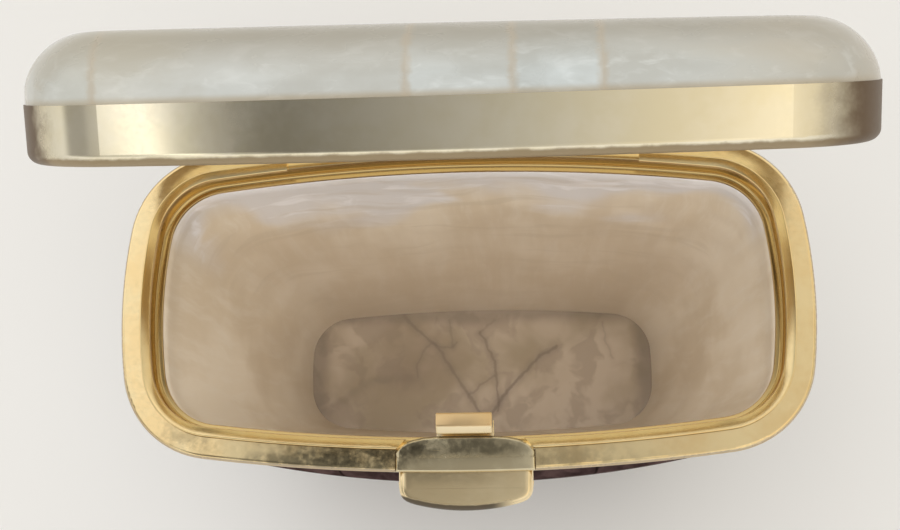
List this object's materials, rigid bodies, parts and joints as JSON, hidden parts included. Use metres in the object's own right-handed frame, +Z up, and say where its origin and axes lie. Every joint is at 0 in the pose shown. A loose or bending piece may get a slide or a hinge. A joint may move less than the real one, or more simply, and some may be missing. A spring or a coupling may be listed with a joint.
{
  "type": "pill box",
  "caption": "Small tapered pearl-lined box with a gilt rim, a domed pearl lid on a rear hinge and a sprung thumb catch at the front.",
  "frame": {"origin": "centre of the flat underside that the box stands on", "axes": "+Z up through the box, +Y towards the hinge at the rear, +X to the right seen from the catch at the front (-Y)"},
  "size_m": [0.065, 0.0421, 0.0823],
  "materials": {
    "gilt_brass": "polished",
    "lid_pearl": "gloss",
    "lining_pearl": "satin",
    "floor_pearl": "satin",
    "dark_shell": "gloss",
    "core_wood": "matte",
    "steel_pin": "satin",
    "spring_steel": "satin"
  },
  "bodies": {
    "base": {"outer_case": "dark_shell", "pearl_lining": "lining_pearl", "floor_panel": "floor_pearl", "bottom_plate": "dark_shell", "base_rim": "gilt_brass", "inner_lip": "gilt_brass", "latch_cover": "gilt_brass", "base_hinge_leaf": "gilt_brass", "hinge_pin": "steel_pin", "latch_springs": "spring_steel"},
    "latch": {"thumb_tab": "gilt_brass", "catch_hook": "gilt_brass"},
    "lid": {"lid_band": "gilt_brass", "lid_liner": "gilt_brass", "lid_core": "core_wood", "lid_strip_1": "lid_pearl", "lid_strip_2": "lid_pearl", "lid_strip_3": "lid_pearl", "lid_strip_4": "lid_pearl", "lid_strip_5": "lid_pearl", "lid_hinge_leaf": "gilt_brass", "lid_striker": "gilt_brass"}
  },
  "joints": [
    {"name": "lid_hinge", "type": "hinge", "parent": "base", "child": "lid", "pos_m": [0, 0.0166, 0.05007], "axis": [-1, 0, 0], "range_deg": [-67, 31]},
    {"name": "catch_press", "type": "slide", "parent": "base", "child": "latch", "axis": [0, 1, 0], "range_m": [0, 0.0009], "stiffness_N_per_m": 800, "springref_m": -0.0004, "deforming": ["latch_springs"]}
  ]
}
